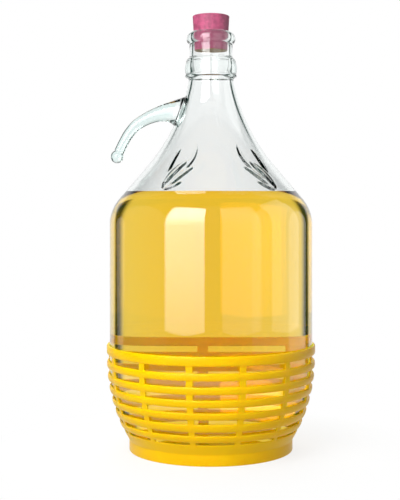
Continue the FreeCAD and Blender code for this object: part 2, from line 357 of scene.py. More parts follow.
def wear_group():
    """A mask of rubbed edges, shared by the plastic and the rubber."""
    group, inside, outside = new_group("edge_wear", {"Breakup Scale": 150.0}, ("Wear",))
    place = new_node(group, "TexCoord")["Object"]
    edges = spread(group, new_node(group, "NewGeometry")["Pointiness"], 0, 1, 0.52, 0.62)
    breakup = noise(group, place, inside.outputs["Breakup Scale"], 4)
    feed(group, outside, {"Wear": number(group, "MULTIPLY", edges, breakup)})
    return group


def inner_group():
    """A mask of the faces that look in at the axis."""
    group, inside, outside = new_group("inner_side", {"Start": 0.3}, ("Inside",))
    place = new_node(group, "TexCoord")
    homeward = vector(group, "MULTIPLY", "Vector", place["Object"], (-1, -1, 0))
    way_in = vector(group, "NORMALIZE", "Vector", homeward)
    facing = vector(group, "DOT_PRODUCT", "Value", way_in, place["Normal"])
    feed(group, outside, {"Inside": number(group, "GREATER_THAN", facing, inside.outputs["Start"])})
    return group


RAGGED_BY = 1.2 * MM  # how far the edge of the masked lower end wanders
RAGGED_SCALE = 300


# This mask carries the stopper's painted shade in the neck and its stain with painted wine light at the
# bottom.
def end_below_group():
    """A mask of the end of a piece below a height, with a ragged edge."""
    group, inside, outside = new_group("end_below_height", {"Height": 0.341}, ("Beneath",))
    place = new_node(group, "TexCoord")["Object"]
    height = along_axes(group, place)["Z"]
    ragged = number(group, "MULTIPLY_ADD", noise(group, place, RAGGED_SCALE, 2), RAGGED_BY, height)
    feed(group, outside, {"Beneath": number(group, "LESS_THAN", ragged, inside.outputs["Height"])})
    return group


SHOULDER_SLOPE = 0.85  # fall of the line over which the hook lies, for each metre out
SHOULDER_CLEAR = (0.309, 0.318)  # height of that line at the axis, from glass to hook


def hook_group():
    """A mask of the hook, which lies outside the neck and over the leaning line of the shoulder."""
    group, inside, outside = new_group("drawn_glass", {"Reach": 0.03}, ("Hook",))
    axes = along_axes(group, new_node(group, "TexCoord")["Object"])
    away = number(group, "MULTIPLY", axes["X"], -1)
    beyond = number(group, "GREATER_THAN", away, inside.outputs["Reach"])
    over = number(group, "MULTIPLY_ADD", away, SHOULDER_SLOPE, axes["Z"])
    clear = spread(group, over, 0, 1, *SHOULDER_CLEAR)
    feed(group, outside, {"Hook": number(group, "MULTIPLY", beyond, clear)})
    return group


def shared_group(name):
    """A shared node group, made the first time it is asked for."""
    makers = {
        "moulding_grain": grain_group,
        "edge_wear": wear_group,
        "drawn_glass": hook_group,
        "end_below_height": end_below_group,
        "inner_side": inner_group,
    }
    return bpy.data.node_groups.get(name) or makers[name]()


def new_material(name):
    """A material with a Principled shader. Returns it with its node tree and that shader."""
    material = bpy.data.materials.new(name)
    material.use_nodes = True
    tree = material.node_tree
    return material, tree, tree.nodes["Principled BSDF"]


def place_group(tree, name, **values):
    """Puts a shared group in a material, with its own values, and returns its outputs."""
    node = tree.nodes.new("ShaderNodeGroup")
    node.node_tree = shared_group(name)
    feed(tree, node, {socket.replace("_", " "): value for socket, value in values.items()})
    return node.outputs


def blend_colours(tree, factor, first, second):
    """A colour that runs from the first to the second as the factor goes from 0 to 1."""
    node = tree.nodes.new("ShaderNodeMix")
    node.data_type = "RGBA"
    # The node has an A and a B for each type of data, so the colours go in by place.
    places = [place for place, socket in enumerate(node.inputs) if socket.type == "RGBA"]
    colours = [c if isinstance(c, bpy.types.NodeSocket) else (*c, 1) for c in (first, second)]
    feed(tree, node, {"Factor": factor, **dict(zip(places, colours))})
    return next(socket for socket in node.outputs if socket.type == "RGBA")


def bump(tree, height, strength, distance):
    """A normal bent by a height."""
    inputs = {"Strength": strength, "Distance": distance, "Height": height}
    return new_node(tree, "Bump", inputs)["Normal"]


def shaded(base, share):
    """A colour made darker, or lighter where share is over 1."""
    return tuple(min(channel * share, 1) for channel in base)


def plastic_finish(colours):
    """Glossy injection-moulded plastic: a faint orange peel, soft blotches, rubbed edges and a painted
    glow on the side that faces the axis.
    """
    material, tree, shader = new_material("basket_plastic")
    base = colours.plastic
    grain = place_group(tree, "moulding_grain", Grain_Scale=420.0, Blotch_Scale=28.0)
    wear = place_group(tree, "edge_wear", Breakup_Scale=260.0)["Wear"]
    inner = place_group(tree, "inner_side", Start=0.3)["Inside"]
    blotchy = blend_colours(tree, spread(tree, grain["Blotches"], 0, 1), shaded(base, 0.93), base)
    # Painted glow: faces that look in at the axis turn a lighter lemon, standing in for light let
    # through the plastic.
    painted_inside_glow = blend_colours(tree, inner, blotchy, colours.plastic_inside_painted_glow)
    rubbed = spread(tree, wear, 0, 0.35, 0, 1)
    inputs = {
        "Base Color": blend_colours(tree, rubbed, painted_inside_glow, colours.plastic_rubbed),
        "Roughness": spread(tree, grain["Blotches"], 0.3, 0.42),
        "Normal": bump(tree, grain["Height"], 0.12, 0.4 * MM),
        "IOR": 1.48,
        "Specular IOR Level": 0.14,
        "Subsurface Weight": 0.4,
        "Subsurface Radius": (6.0 * MM, 2.6 * MM, 0.3 * MM),
        "Subsurface Scale": 1,
    }
    feed(tree, shader, inputs)
    return material


def rubber_finish(colours):
    """Matt pressed rubber: mottled, speckled with dark grains and chalky on its edges, with painted
    shade where it sits in the neck, and a wine stain at the bottom with a painted reflection of the
    wine's light."""
    material, tree, shader = new_material("stopper_rubber")
    base = colours.rubber
    grain = place_group(tree, "moulding_grain", Grain_Scale=1500.0, Blotch_Scale=260.0)
    wear = place_group(tree, "edge_wear", Breakup_Scale=500.0)["Wear"]
    # Painted shade: the part of the stopper inside the neck is darkened to stand in for the lesser light
    # there.
    painted_neck_shade = place_group(tree, "end_below_height", Height=BOTTLE_HIGH.z - 1.2 * MM)["Beneath"]
    # Wine stain and painted reflection: the bottom takes a tan that also stands in for the wine's light.
    stain_and_wine_light = place_group(tree, "end_below_height", Height=STOPPER_LOW.z + 1.1 * MM)["Beneath"]
    blotches = spread(tree, grain["Blotches"], 0, 1, 0.36, 0.64)
    layers = (
        (spread(tree, grain["Height"], 0.55, 0, 0.3, 0.4), shaded(base, 0.4)),
        (spread(tree, wear, 0, 0.5, 0, 1), colours.rubber_chalky),
        # Painted shade in the neck.
        (spread(tree, painted_neck_shade, 0, 0.7, 0, 1), shaded(base, 0.5)),
        (stain_and_wine_light, colours.rubber_stain_and_wine_light),
    )
    colour_seen = blend_colours(tree, blotches, shaded(base, 0.72), shaded(base, 1.16))
    for mask, layer in layers:
        colour_seen = blend_colours(tree, mask, colour_seen, layer)
    inputs = {
        "Base Color": colour_seen,
        "Roughness": spread(tree, grain["Blotches"], 0.52, 0.72),
        "Normal": bump(tree, grain["Height"], 0.5, 0.3 * MM),
        "IOR": 1.5,
    }
    feed(tree, shader, inputs)
    return material


def show(tree, factor, shader, other):
    """Shows a mix of two shaders, which is all of the other where the factor is 1."""
    mix = new_node(tree, "MixShader", {0: factor, 1: shader, 2: other})
    feed(tree, tree.nodes["Material Output"], {"Surface": mix["Shader"]})


def let_light_through(tree, shader, tint):
    """Makes a clear material cast a soft tinted shadow instead of a black one."""
    clear = new_node(tree, "BsdfTransparent", {"Color": (*tint, 1)})
    show(tree, new_node(tree, "LightPath")["Is Shadow Ray"], shader.outputs["BSDF"], clear["BSDF"])


GLASS_DENSITY = 12.0  # how fast thick glass takes on its tint, for each metre
WINE_DENSITY = 22.0


def fill_with_tint(tree, tint, density):
    """Absorption that deepens with the distance through the piece."""
    volume = new_node(tree, "VolumeAbsorption", {"Color": (*tint, 1), "Density": density})
    feed(tree, tree.nodes["Material Output"], {"Volume": volume["Volume"]})


def glass_finish(colours):
    """Blown glass: clear, faintly wavy, and green where it is thick."""
    material, tree, shader = new_material("bottle_glass")
    grain = place_group(tree, "moulding_grain", Grain_Scale=22.0, Blotch_Scale=70.0)
    hook = place_group(tree, "drawn_glass", Reach=0.03)["Hook"]
    inputs = {
        "Base Color": blend_colours(tree, hook, (1, 1, 1), colours.hook),
        "Roughness": spread(tree, grain["Blotches"], 0, 0.004),
        "Normal": bump(tree, grain["Height"], 0.03, 2 * MM),
        "Transmission Weight": 1,
        "IOR": 1.5,
    }
    feed(tree, shader, inputs)
    let_light_through(tree, shader, colours.glass_shadow)
    fill_with_tint(tree, colours.glass, GLASS_DENSITY)
    return material


def wine_finish(colours):
    """White wine: clear and golden through its depth."""
    material, tree, shader = new_material("wine")
    inputs = {"Base Color": (1, 1, 1, 1), "Roughness": 0, "Transmission Weight": 1, "IOR": 1.34}
    feed(tree, shader, inputs)
    let_light_through(tree, shader, colours.wine_shadow)
    fill_with_tint(tree, colours.wine, WINE_DENSITY)
    return material


# ---------------------------------------------------------------- glass


def shoulder_places(size):
    """Where the shoulder's turn and the cone end, and the middle and the end of the sweep."""
    lean = size.shoulder_lean
    turn_end = Vector(
        (
            size.body_radius - size.shoulder_bend * (1 - math.cos(lean)),
            size.wall_top + size.shoulder_bend * math.sin(lean),
        )
    )
    cone_end = Vector((size.cone_top, turn_end.y + (turn_end.x - size.cone_top) / math.tan(lean)))
    places = [turn_end, cone_end]
    for up in ((lean + size.neck_lean) / 2, size.neck_lean):
        away = Vector((math.cos(lean) - math.cos(up), math.sin(lean) - math.sin(up)))
        places.append(cone_end + size.neck_bend * away)
    return places


def heel_places(size):
    """Where the base turns into the heel, and the heel into the belly."""
    centre = size.body_radius - size.belly_bend
    sine = (size.belly_top - size.base - size.heel_bend) / (size.belly_bend - size.heel_bend)
    cosine = math.sqrt(1 - sine**2)
    flat_end = Vector((centre + (size.belly_bend - size.heel_bend) * cosine, size.base))
    belly_start = Vector((centre + size.belly_bend * cosine, size.belly_top - size.belly_bend * sine))
    return flat_end, belly_start


def inward(place, lean, depth):
    """A place moved square to a wall that leans in by an angle."""
    return place - Vector((math.cos(lean), math.sin(lean))) * depth


PUNT_BEND = 0.15  # radius of the push-up's curve under the base, and below the wine
PUNT_BEND_INSIDE = 0.24


def inside_places(size, extra):
    """The inside of the glass from the middle of the floor up to the top of the cone, as an outline
    that lies extra metres further in."""
    depth = size.wall + extra
    flat_end, belly_start = heel_places(size)
    turn_end, cone_end, *_ = shoulder_places(size)
    floor = size.base + size.floor + extra
    heel = size.heel_bend - depth
    drop = size.base + size.heel_bend - floor
    heel_lean = math.asin((size.belly_top - belly_start.y) / size.belly_bend)
    belly = inward(belly_start, -heel_lean, depth)
    turn = inward(turn_end, size.shoulder_lean, depth)
    cone = inward(cone_end, size.shoulder_lean, depth)
    outline = Outline(0, floor + size.punt)
    outline.arc(flat_end.x + math.sqrt(heel**2 - drop**2), floor, PUNT_BEND_INSIDE, -1, 14)
    outline.arc(belly.x, belly.y, heel, 1, 6)
    outline.arc(size.body_radius - depth, size.belly_top, size.belly_bend - depth, 1, 16)
    outline.line(size.body_radius - depth, size.wall_top, 8)
    outline.arc(turn.x, turn.y, size.shoulder_bend - depth, 1, 16)
    outline.line(cone.x, cone.y, 6)
    return outline


def bottle_places(size):
    """The whole section of the glass from the middle of the base, up the outside, over the lip and
    down the inside. Also returns which places lie on the part of the shoulder with the relief."""
    flat_end, belly_start = heel_places(size)
    turn_end, cone_end, sweep_middle, sweep_end = shoulder_places(size)
    outline = Outline(0, size.base + size.punt)
    outline.arc(size.rest_ring, size.base + 0.6 * MM, PUNT_BEND, -1, 10)
    outline.arc(size.rest_ring + 2 * MM, size.base, 3.5 * MM, 1, 3)
    outline.line(flat_end.x, flat_end.y)
    outline.arc(belly_start.x, belly_start.y, size.heel_bend, 1, 8)
    outline.arc(size.body_radius, size.belly_top, size.belly_bend, 1, 16)
    outline.line(size.body_radius, size.wall_top, 10)
    outline.arc(turn_end.x, turn_end.y, size.shoulder_bend, 1, 24)
    relief_start = len(outline.places)
    outline.line(cone_end.x, cone_end.y, 52)
    outline.arc(sweep_middle.x, sweep_middle.y, size.neck_bend, -1, 36)
    relief_end = len(outline.places)
    outline.arc(sweep_end.x, sweep_end.y, size.neck_bend, -1, 14)
    outline.arc(size.collar - 1.8 * MM, size.collar_bottom - 0.2 * MM, 3 * MM, -1, 5)
    outline.arc(size.collar - 1.0 * MM, size.collar_bottom + 2.4 * MM, 1.4 * MM, 1, 6)
    outline.arc(size.collar - 1.1 * MM, size.collar_top - 3.0 * MM, 14 * MM, 1, 12)
    outline.arc(size.neck + 1.0 * MM, size.collar_top + 0.4 * MM, 3.2 * MM, 1, 8)
    outline.arc(size.neck, size.collar_top + 2.0 * MM, 2.2 * MM, -1, 5)
    outline.line(size.neck, size.lip_bottom - 1.0 * MM, 3)
    outline.arc(size.neck + 0.8 * MM, size.lip_bottom, 1.1 * MM, -1, 4)
    outline.arc(size.lip, size.lip_bottom + 4.0 * MM, 3.9 * MM, 1, 10)
    outline.arc(size.neck - 1.2 * MM, size.top, 6.0 * MM, 1, 14)
    outline.arc(size.bore + 0.9 * MM, size.top - 0.35 * MM, 6 * MM, 1, 4)
    outline.arc(size.bore, size.top - 1.6 * MM, 1.8 * MM, 1, 5)
    outline.line(size.bore, size.collar_top, 4)
    inner_sweep = inward(sweep_end, size.neck_lean, size.wall)
    outline.line(inner_sweep.x, inner_sweep.y, 4)
    cone = inward(cone_end, size.shoulder_lean, size.wall)
    outline.arc(cone.x, cone.y, size.neck_bend + size.wall, 1, 20)
    rest = inside_places(size, 0).places
    return outline.places + rest[-2::-1], range(relief_start, relief_end)


# A sprig's leaves: where each starts, bends towards and ends, in metres right of the sprig's middle
# and up the slope, then its half width.
SPRIG_LEAVES = (
    ((-0.0040, 0.019), (-0.0105, 0.034), (-0.0075, 0.049), 0.0025),
    ((0.0080, 0.006), (0.0070, 0.021), (-0.0050, 0.031), 0.0041),
    ((0.0085, 0.000), (0.0130, 0.022), (0.0055, 0.045), 0.0022),
    ((0.0020, 0.005), (-0.0035, 0.018), (-0.0125, 0.025), 0.0029),
    ((0.0075, 0.000), (0.0010, 0.002), (-0.0075, 0.009), 0.0017),
)
SPRIGS = ((-26.0, -1), (40.0, 1))  # degrees round from the front towards +X, and which way it faces
SPRIG_HALF = 24.0  # degrees
SPRIG_BASE = 0.2205  # height of the sprig's foot
LEAF_STEPS = 40
LEAF_TAPER = 0.7
LEAF_EDGE = 0.4  # share of the half width over which the blade rises
GROOVE_DEPTH = 0.45
GROOVE_WIDTH = 0.16  # share of the half width
# The round boss beside the left sprig: its middle, its half sizes and its share of the relief.
BOSS = (-0.0165, 0.027, 0.0045, 0.012, 0.5)


def leaf_relief(across, up, leaf):
    """How far a leaf stands out at places across and up, from 0 to 1."""
    start, bend, end, half = leaf
    nearest = np.full(across.shape, np.inf)
    along = np.zeros(across.shape)
    for share in np.linspace(0, 1, LEAF_STEPS):
        weights = ((1 - share) ** 2, 2 * share * (1 - share), share**2)
        x = sum(weight * place[0] for weight, place in zip(weights, (start, bend, end)))
        y = sum(weight * place[1] for weight, place in zip(weights, (start, bend, end)))
        reach = np.hypot(across - x, up - y)
        along = np.where(reach < nearest, share, along)
        nearest = np.minimum(nearest, reach)
    width = half * np.sin(np.pi * np.clip(along, 0.02, 0.98)) ** LEAF_TAPER
    blade = np.clip((1 - nearest / width) / LEAF_EDGE, 0, 1)
    blade = blade * blade * (3 - 2 * blade)
    groove = GROOVE_DEPTH * np.exp(-((nearest / (GROOVE_WIDTH * half)) ** 2))
    return blade * (1 - groove)


def shoulder_relief(places, rows, angles, size):
    """How far each vertex of the glass moves out, for the leaf sprigs on the shoulder."""
    move = np.zeros((len(places), len(angles)))
    turns = (np.degrees(angles) + 270) % 360 - 180
    up = 0.0
    for row in rows:
        place = places[row]
        if place.y < SPRIG_BASE:
            continue
        up += (place - places[row - 1]).length
        for middle, side in SPRIGS:
            across = side * np.radians(turns - middle) * place.x
            heights = [leaf_relief(across, np.full(across.shape, up), leaf) for leaf in SPRIG_LEAVES]
            if side < 0:
                reach = np.hypot((across - BOSS[0]) / BOSS[2], (up - BOSS[1]) / BOSS[3])
                heights.append(BOSS[4] * np.clip(1 - reach**2, 0, 1))
            near = np.abs(turns - middle) < SPRIG_HALF
            move[row] += np.where(near, np.max(heights, axis=0), 0) * size.relief
    return move


FINE_TURN = 0.6  # degrees
COARSE_TURN = 2.4


def bottle_angles():
    """Angles round the bottle: fine where the sprigs are and coarse elsewhere."""
    angles = []
    turn = -180.0
    while turn < 180.0:
        angles.append(math.radians(turn - 90))
        near = any(abs(turn - middle) <= SPRIG_HALF for middle, _ in SPRIGS)
        turn += FINE_TURN if near else COARSE_TURN
    return angles


# The hook from inside the wall to its free end: reach from the axis, height, lean of the run below
# level in degrees, and half thickness in the hook's plane and across it.
HOOK_STATIONS = (
    (0.0262, 0.2890, -20, 0.0140, 0.0098),
    (0.0300, 0.2890, -14, 0.0116, 0.0086),
    (0.0345, 0.2887, -4, 0.0093, 0.0074),
    (0.0405, 0.2880, 8, 0.0074, 0.0064),
    (0.0480, 0.2860, 17, 0.0061, 0.0057),
    (0.0560, 0.2826, 27, 0.0053, 0.0052),
    (0.0646, 0.2772, 42, 0.0048, 0.0048),
    (0.0708, 0.2700, 54, 0.0045, 0.0046),
    (0.0755, 0.2620, 61, 0.0043, 0.0044),
    (0.0790, 0.2545, 66, 0.0044, 0.0045),
)
HOOK_STEPS = 7  # sections from one station to the next
BALL_REACH = 4.6 * MM  # from the end of the rod to the middle of the ball
BALL_LEAN = 1.0  # degrees more than the rod's end
BALL_TURNS = (-48, -34, -18, 0, 20, 40, 58, 72, 83)  # degrees past the ball's middle, along the run


def between(values, share):
    """The value at a share of the way from the second to the third, on a smooth curve through four."""
    a, b, c, d = values
    curve = (2 * a - 5 * b + 4 * c - d) * share**2 + (3 * b - a - 3 * c + d) * share**3
    return 0.5 * (2 * b + (c - a) * share + curve)


def hook_run(degrees):
    """Which way the rod runs where it leans by so much below level."""
    lean = math.radians(degrees)
    return Vector((-math.cos(lean), 0, -math.sin(lean)))


def hook_sections(size):
    """The hook's sections as (centre, run, half thickness in plane, half thickness across)."""
    last = len(HOOK_STATIONS) - 1
    stations = []
    for index in range(last):
        around = [HOOK_STATIONS[min(max(index + k, 0), last)] for k in (-1, 0, 1, 2)]
        for step in range(HOOK_STEPS):
            stations.append([between(values, step / HOOK_STEPS) for values in zip(*around)])
    stations.append(HOOK_STATIONS[last])
    sections = []
    for reach, height, lean, tall, wide in stations:
        sections.append((Vector((-reach, 0, height)), hook_run(lean), tall, wide))
    # The ball swells out of the rod and closes over.
    run = hook_run(HOOK_STATIONS[last][2] + BALL_LEAN)
    centre = sections[-1][0] + run * BALL_REACH
    for turn in map(math.radians, BALL_TURNS):
        radius = size.ball * math.cos(turn)
        sections.append((centre + run * size.ball * math.sin(turn), run, radius, radius))
    return sections


def hook_mesh(size):
    """Vertices and faces of the hook as a closed rod."""
    vertices, faces = [], []
    sides = size.sides
    sections = hook_sections(size)
    for centre, run, tall, wide in sections:
        up = Vector((run.z, 0, -run.x))
        for turn in even_angles(sides):
            out = up * math.cos(turn) * tall + Vector((0, 1, 0)) * math.sin(turn) * wide
            vertices.append(centre + out)
    for ring in range(len(sections) - 1):
        low, high = ring * sides, (ring + 1) * sides
        for side in range(sides):
            after = (side + 1) % sides
            faces.append((low + side, high + side, high + after, low + after))
    faces.append(tuple(range(sides)))
    faces.append(tuple(range(len(vertices) - 1, len(vertices) - sides - 1, -1)))
    return vertices, faces


def apply_modifiers(piece):
    """Replaces a piece's mesh with what its modifiers make of it."""
    graph = bpy.context.evaluated_depsgraph_get()
    result = bpy.data.meshes.new_from_object(piece.evaluated_get(graph))
    piece.modifiers.clear()
    old = piece.data
    piece.data = result
    bpy.data.meshes.remove(old)


class CARBOY_OT_bottle(Operator):
    """Make the glass: the blown body with its relief, and the hook fused on its shoulder"""

    bl_idname = "carboy.bottle"
    bl_label = "Bottle and handle"

    def execute(self, context):
        settings = context.scene.carboy
        glass = glass_finish(settings.colours)
        places, rows = bottle_places(settings.bottle)
        angles = bottle_angles()
        move = shoulder_relief(places, rows, angles, settings.bottle)
        bottle = closed_piece("bottle_glass", *turned(places, angles, move), glass)
        hook = closed_piece("hook", *hook_mesh(settings.handle), glass)
        join = bottle.modifiers.new("fuse", "BOOLEAN")
        join.operation = "UNION"
        join.solver = "MANIFOLD"
        join.object = hook
        apply_modifiers(bottle)
        bpy.data.objects.remove(hook)
        bottle.data.shade_smooth()
        stand_in(bottle, "bottle", "bottle_glass", "bottle", "handle")
        return {"FINISHED"}


WINE_SIDES = 240
CREEP_STEPS = 12
CREEP_REACH = 5  # how far in the wine's edge is drawn up, for each metre that it creeps
CREEP_FALL = 2.6


def wine_places(bottle, wine):
    """The wine's outline: the inside of the glass up to the surface, whose edge creeps up the glass
    over a few times that height."""
    glass = inside_places(bottle, -wine.seat).places
    places = [place for place in glass if place.y < wine.level - 1 * MM]
    below, above = glass[len(places) - 1], glass[len(places)]
    share = (wine.level + wine.meniscus - below.y) / (above.y - below.y)
    edge = below.lerp(above, share)
    surface = Outline(edge.x, edge.y)
    for step in range(1, CREEP_STEPS + 1):
        share = step / CREEP_STEPS
        creep = wine.meniscus * (1 - share) ** CREEP_FALL
        surface.line(edge.x - CREEP_REACH * wine.meniscus * share, wine.level + creep)
    surface.line(0, wine.level, 12)
    return places + surface.places


class CARBOY_OT_wine(Operator):
    """Make the wine, with its edge drawn up the glass"""

    bl_idname = "carboy.wine"
    bl_label = "Wine"

    def execute(self, context):
        settings = context.scene.carboy
        places = wine_places(settings.bottle, settings.wine)
        finish = wine_finish(settings.colours)
        wine = closed_piece("wine_fill", *turned(places, even_angles(WINE_SIDES)), finish)
        stand_in(wine, "bottle", "wine", "wine")
        return {"FINISHED"}


STOPPER_SIDES = 96
HOLLOW_BEND = 0.09  # radius of the hollow of the bottom


def stopper_places(size):
    """The stopper's outline, from the middle of its slightly hollow bottom to that of its top."""
    bottom, top = STOPPER_LOW.z, STOPPER_HIGH.z
    taper = (size.top_radius - size.bottom_radius) / (top - bottom)
    edge = size.edge
    outline = Outline(0, bottom + 0.3 * MM)
    outline.line(size.bottom_radius * 0.55, bottom + 0.25 * MM, 4)
    outline.arc(size.bottom_radius - edge, bottom, HOLLOW_BEND, 1, 4)
    outline.arc(size.bottom_radius + edge * taper, bottom + edge, edge * 1.02, 1, 5)
    outline.line(size.top_radius - edge * taper - 0.06 * MM, top - 1.7 * edge, 24)
    outline.line(size.top_radius, top - edge, 2)
    outline.arc(size.top_radius - edge, top, edge * 1.02, 1, 6)
    outline.line(size.top_radius * 0.8, top - 0.15 * MM, 3)
    outline.line(size.top_radius * 0.74, top - 0.3 * MM, 2)
    outline.line(0, top - 0.35 * MM, 6)
    return outline.places


class CARBOY_OT_stopper(Operator):
    """Make the rubber stopper"""

    bl_idname = "carboy.stopper"
    bl_label = "Stopper"

    def execute(self, context):
        settings = context.scene.carboy
        places = stopper_places(settings.stopper)
        finish = rubber_finish(settings.colours)
        mesh = turned(places, even_angles(STOPPER_SIDES))
        stopper = closed_piece("rubber_stopper", *mesh, finish)
        stand_in(stopper, "stopper", "stopper_rubber", "stopper")
        return {"FINISHED"}


# ---------------------------------------------------------------- basket

# Bottom and top of each row of openings, from the floor up.
OPENINGS = (
    (0.0176, 0.0203),
    (0.0256, 0.0292),
    (0.0353, 0.0395),
    (0.0448, 0.0496),
    (0.0552, 0.0600),
    (0.0655, 0.0709),
    (0.0764, 0.0823),
)


class Row:
    """One ring of the basket's mesh: a place on its outer side and the one facing it inside. Rings
    with the same opening have that opening between them, and bulge is their share of a hoop's."""

    def __init__(self, outer, inner, opening=None, bulge=0.0):
        self.outer = Vector(outer)
        self.inner = Vector(inner)
        self.opening = opening
        self.bulge = bulge


def side_radius(size, height, top_radius, bend):
    """Radius of the curved side at a height."""
    if height >= size.bend_top:
        return top_radius
    return top_radius - bend + math.sqrt(bend**2 - (size.bend_top - height) ** 2)


def inner_radius(size, height):
    """Radius of the inside of the side at a height."""
    return side_radius(size, height, size.inside, size.bend - (size.rib_radius - size.inside))


def wall_row(size, height, opening=None, bulge=0.0):
    """A ring of the basket's side."""
    outer = (side_radius(size, height, size.rib_radius, size.bend), height)
    return Row(outer, (inner_radius(size, height), height), opening, bulge)


# Radii in millimetres of the rings of the floor: round its hole, under the spokes and out to the corner.
HUB = (17, 20)
SPOKES = (24, 28, 36, 43, 47)
FLOOR_RING = (50, 57)


def floor_rows(size):
    """Rings of the floor, from the hole in its middle to the corner, and of the foot under it."""
    rows = []
    for radii, opening in ((HUB, None), (SPOKES, "floor"), (FLOOR_RING, None)):
        for radius in radii:
            rows.append(Row((radius * MM, size.under), (radius * MM, size.floor), opening))
    foot_inside = size.foot - size.foot_wall
    corner = inner_radius(size, size.floor)
    rows.append(Row((foot_inside - 2 * MM, size.under), (corner - 1.5 * MM, size.floor)))
    rows.append(Row((foot_inside, size.under), (corner, size.floor)))
    foot = (
        (foot_inside, 0.0),
        (size.foot - 0.2 * MM, 0.0),
        (size.foot, 0.5 * MM),
        (size.foot, size.foot_top - 1.4 * MM),
        (size.foot - 0.1 * MM, size.foot_top - 0.6 * MM),
    )
    for step, outer in enumerate(foot, start=1):
        height = size.floor + step * 0.8 * MM
        rows.append(Row(outer, (inner_radius(size, height), height)))
    return rows


def wall_rows(size):
    """Rings of the side, from the foot up through the openings and the hoops between them."""
    heights = (size.foot_top, size.foot_top + 0.8 * MM, 12.5 * MM, 15 * MM, 16.6 * MM)
    rows = [wall_row(size, height) for height in heights]
    for index, (low, high) in enumerate(OPENINGS):
        bottom, top = low + size.lip, high - size.lip
        for height in (bottom, bottom + 0.9 * MM, top - 0.9 * MM, top):
            rows.append(wall_row(size, height, index))
        if index < len(OPENINGS) - 1:
            above = OPENINGS[index + 1][0] + size.lip
            for share in (0.12, 0.28, 0.5, 0.72, 0.88):
                bulge = math.sin(math.pi * share) ** 0.8
                rows.append(wall_row(size, top + (above - top) * share, None, bulge))
    return rows


def rim_rows(size):
    """Rings of the rim band: its outside radius and height, and how much lower the inside lies."""
    band, top = size.rim_radius, BASKET_HIGH.z
    rings = (
        (band - 0.25 * MM, size.rim_band + 0.5 * MM, 0),
        (band, size.rim_band + 1.2 * MM, 0),
        (band, 0.5 * (size.rim_band + top), 0),
        (band, top - 1.1 * MM, 0.9 * MM),
        (band - 0.35 * MM, top - 0.25 * MM, 1.0 * MM),
        (band - 0.9 * MM, top, 0.45 * MM),
    )
    return [Row((radius, height), (size.inside, height - drop)) for radius, height, drop in rings]


def basket_columns(size):
    """Angles round the basket, and for each whether the strip after it is open and how near it is to
    a rib's middle, from 0 to 1."""
    pitch = 2 * math.pi / size.ribs
    half = size.rib_angle / 2
    gap = pitch - size.rib_angle
    columns = []
    for sector in range(size.ribs):
        middle = size.rib_turn + (sector + 0.5) * pitch
        for share in (-1.0, -0.62, 0.0, 0.62):
            columns.append((middle + share * half, False, 1 - share**2))
        for share in (0.0, 0.04, 0.13, 0.26, 0.42, 0.58, 0.74, 0.87, 0.96):
            columns.append((middle + half + share * gap, True, 0.0))
    return columns


RIB_FLATTENS = 0.35  # how much less the hoops bulge where they cross a rib's middle
RIB_STANDS_OUT = 0.6  # share of the recess that a rib's middle makes up


def basket_vertices(size, rows, columns):
    """The outer and the inner vertex of each row at each column."""
    vertices = []
    for row in rows:
        for turn, is_open, rib in columns:
            flatter = 1 if is_open else 1 - RIB_FLATTENS * rib
            out = size.hoop * row.bulge * flatter
            if isinstance(row.opening, int):
                out = size.recess * (RIB_STANDS_OUT * rib - 1)
            for place, extra in ((row.outer, out), (row.inner, 0.0)):
                radius = place.x + extra
                vertices.append((radius * math.cos(turn), radius * math.sin(turn), place.y))
    return vertices


def basket_mesh(size):
    """Vertices and faces of the basket as one closed moulding with openings."""
    rows = floor_rows(size) + wall_rows(size) + rim_rows(size)
    columns = basket_columns(size)
    count = len(columns)
    outer, inner = 0, 1
    faces = []

    def face(*corners):
        """Adds a face through corners, each given as its row and column, and its side."""
        faces.append([2 * (row * count + column % count) + side for (row, column), side in corners])

    def is_empty(row, column):
        """Whether there is no plastic above a row and after a column."""
        if not 0 <= row < len(rows) - 1:
            return True
        low, high = rows[row].opening, rows[row + 1].opening
        return low is not None and low == high and columns[column % count][1]

    for row in range(len(rows) - 1):
        for column in range(count):
            if is_empty(row, column):
                continue
            a, b = (row, column), (row, column + 1)
            c, d = (row + 1, column + 1), (row + 1, column)
            face((a, outer), (b, outer), (c, outer), (d, outer))
            face((d, inner), (c, inner), (b, inner), (a, inner))
            edges = (
                ((row, column - 1), a, d),
                ((row, column + 1), c, b),
                ((row - 1, column), b, a),
                ((row + 1, column), d, c),
            )
            for beyond, start, end in edges:
                if is_empty(*beyond):
                    face((start, outer), (end, outer), (end, inner), (start, inner))
    return basket_vertices(size, rows, columns), faces


SHARP = 38  # degrees between two faces whose edge is rounded


class CARBOY_OT_basket(Operator):
    """Make the moulded basket"""

    bl_idname = "carboy.basket"
    bl_label = "Basket"

    def execute(self, context):
        settings = context.scene.carboy
        finish = plastic_finish(settings.colours)
        basket = closed_piece("basket_moulding", *basket_mesh(settings.basket), finish)
        stand_in(basket, "basket", "basket_plastic", "basket")
        rounding = basket.modifiers.new("moulded_edges", "BEVEL")
        rounding.width = settings.basket.edge
        rounding.segments = 3
        rounding.limit_method = "ANGLE"
        rounding.angle_limit = math.radians(SHARP)
        rounding.harden_normals = True
        return {"FINISHED"}


# ---------------------------------------------------------------- stage


SOFTBOX_DISTANCE = 0.64
SOFTBOX_WIDTH = 0.5
SOFTBOX_FOOT = 0.041  # heights of the upright softboxes
SOFTBOX_HEAD = 0.85
# The upright softboxes: degrees round from the camera's side towards +X, brightness at the foot and from
# halfway up where the backdrop is 1, and whether each lights dull surfaces, shows in reflections and
# shows through glass.
SOFTBOXES = (
    ("key", -28, 1.5, 6.5, (True, True, True)),
    ("fill", 33, 0.45, 0.8, (True, True, True)),
    ("rim", 88, 1.1, 1.3, (False, True, False)),
    ("glow", 180, 3.0, 3.0, (True, False, False)),
)
OVERHEAD_PLACE = Vector((-0.3, -0.35, 0.95))
OVERHEAD_STRENGTH = 5.0


